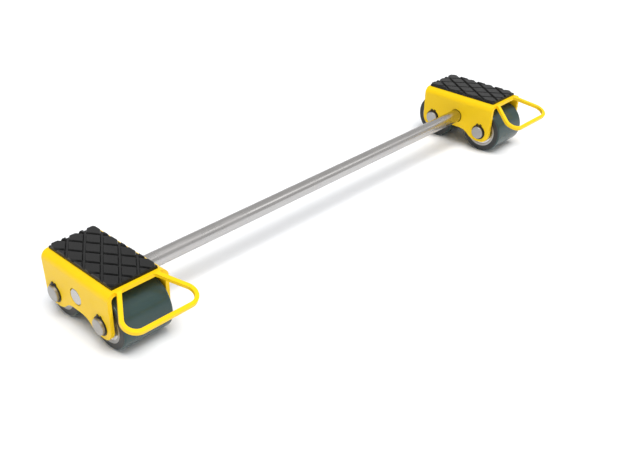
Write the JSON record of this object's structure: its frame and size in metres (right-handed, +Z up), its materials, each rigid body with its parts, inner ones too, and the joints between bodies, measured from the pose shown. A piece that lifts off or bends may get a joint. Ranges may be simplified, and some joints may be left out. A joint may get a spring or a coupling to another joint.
{
  "type": "machine skate",
  "caption": "Adjustable machine skate: roller cassettes with diamond-patterned rubber decks and folded sheet handles, clamped on a plain round steel connecting bar.",
  "frame": {"origin": "on the floor, under the middle of the whole skate's box", "axes": "+X along the connecting bar, +Z up, handles towards -Y"},
  "size_m": [1.0208, 0.2484, 0.11],
  "materials": {
    "frame_paint": "semi-gloss yellow powder coat",
    "pad_rubber": "matt black moulded rubber",
    "tread_polyurethane": "satin dark green-grey polyurethane",
    "bar_steel": "drawn bright bar",
    "axle_steel": "turned steel",
    "core_steel": "turned steel",
    "clip_steel": "black phosphated spring steel",
    "bearing_steel": "ground bearing steel",
    "shield_steel": "pressed steel",
    "screw_steel": "zinc plated",
    "pressure_brass": "turned brass"
  },
  "bodies": {
    "left_cassette": {"left_axle_circlips": "clip_steel", "left_clamp_boss": "frame_paint", "left_frame": "frame_paint", "left_front_axle": "axle_steel", "left_front_roller_bearing_inner_races": "bearing_steel", "left_front_roller_end_washers": "core_steel", "left_front_roller_spacer_sleeve": "core_steel", "left_guide_tube": "frame_paint", "left_pad": "pad_rubber", "left_rear_axle": "axle_steel", "left_rear_roller_bearing_inner_races": "bearing_steel", "left_rear_roller_end_washers": "core_steel", "left_rear_roller_spacer_sleeve": "core_steel"},
    "left_front_roller": {"left_front_roller_bearing_balls": "bearing_steel", "left_front_roller_bearing_outer_races": "bearing_steel", "left_front_roller_bearing_shields": "shield_steel", "left_front_roller_core": "core_steel", "left_front_roller_tread": "tread_polyurethane"},
    "left_rear_roller": {"left_rear_roller_bearing_balls": "bearing_steel", "left_rear_roller_bearing_outer_races": "bearing_steel", "left_rear_roller_bearing_shields": "shield_steel", "left_rear_roller_core": "core_steel", "left_rear_roller_tread": "tread_polyurethane"},
    "left_clamp_pressure": {"left_clamp_pressure_piece": "pressure_brass"},
    "left_clamp_screw": {"left_clamp_screw": "screw_steel"},
    "connecting_bar": {"connecting_bar": "bar_steel"},
    "right_cassette": {"right_axle_circlips": "clip_steel", "right_clamp_boss": "frame_paint", "right_frame": "frame_paint", "right_front_axle": "axle_steel", "right_front_roller_bearing_inner_races": "bearing_steel", "right_front_roller_end_washers": "core_steel", "right_front_roller_spacer_sleeve": "core_steel", "right_guide_tube": "frame_paint", "right_pad": "pad_rubber", "right_rear_axle": "axle_steel", "right_rear_roller_bearing_inner_races": "bearing_steel", "right_rear_roller_end_washers": "core_steel", "right_rear_roller_spacer_sleeve": "core_steel"},
    "right_front_roller": {"right_front_roller_bearing_balls": "bearing_steel", "right_front_roller_bearing_outer_races": "bearing_steel", "right_front_roller_bearing_shields": "shield_steel", "right_front_roller_core": "core_steel", "right_front_roller_tread": "tread_polyurethane"},
    "right_rear_roller": {"right_rear_roller_bearing_balls": "bearing_steel", "right_rear_roller_bearing_outer_races": "bearing_steel", "right_rear_roller_bearing_shields": "shield_steel", "right_rear_roller_core": "core_steel", "right_rear_roller_tread": "tread_polyurethane"},
    "right_clamp_pressure": {"right_clamp_pressure_piece": "pressure_brass"},
    "right_clamp_screw": {"right_clamp_screw": "screw_steel"}
  },
  "joints": [
    {"name": "bar_slide", "type": "slide", "parent": "left_cassette", "child": "connecting_bar", "axis": [1, 0, 0], "range_m": [-0.37, 0]},
    {"name": "right_cassette_slide", "type": "slide", "parent": "connecting_bar", "child": "right_cassette", "axis": [1, 0, 0], "range_m": [-0.37, 0]},
    {"name": "left_front_roller_spin", "type": "hinge", "parent": "left_cassette", "child": "left_front_roller", "pos_m": [-0.45, -0.03223, 0.0425], "axis": [1, 0, 0], "continuous": true},
    {"name": "left_rear_roller_spin", "type": "hinge", "parent": "left_cassette", "child": "left_rear_roller", "pos_m": [-0.45, 0.08168, 0.0425], "axis": [1, 0, 0], "continuous": true},
    {"name": "left_clamp_press", "type": "slide", "parent": "left_cassette", "child": "left_clamp_pressure", "axis": [0, 0, 1], "range_m": [-0.0025, 0]},
    {"name": "left_clamp_turn", "type": "hinge", "parent": "left_clamp_pressure", "child": "left_clamp_screw", "pos_m": [-0.45, 0.02473, 0.03], "axis": [0, 0, 1], "range_deg": [-720, 0]},
    {"name": "right_front_roller_spin", "type": "hinge", "parent": "right_cassette", "child": "right_front_roller", "pos_m": [0.45, -0.03223, 0.0425], "axis": [1, 0, 0], "continuous": true},
    {"name": "right_rear_roller_spin", "type": "hinge", "parent": "right_cassette", "child": "right_rear_roller", "pos_m": [0.45, 0.08168, 0.0425], "axis": [1, 0, 0], "continuous": true},
    {"name": "right_clamp_press", "type": "slide", "parent": "right_cassette", "child": "right_clamp_pressure", "axis": [0, 0, 1], "range_m": [-0.0025, 0]},
    {"name": "right_clamp_turn", "type": "hinge", "parent": "right_clamp_pressure", "child": "right_clamp_screw", "pos_m": [0.45, 0.02473, 0.03], "axis": [0, 0, 1], "range_deg": [-720, 0]}
  ],
  "couplings": [
    {"joint": "left_clamp_turn", "follows": "left_clamp_press", "rad_per_m": 5026.5},
    {"joint": "right_clamp_turn", "follows": "right_clamp_press", "rad_per_m": 5026.5}
  ]
}
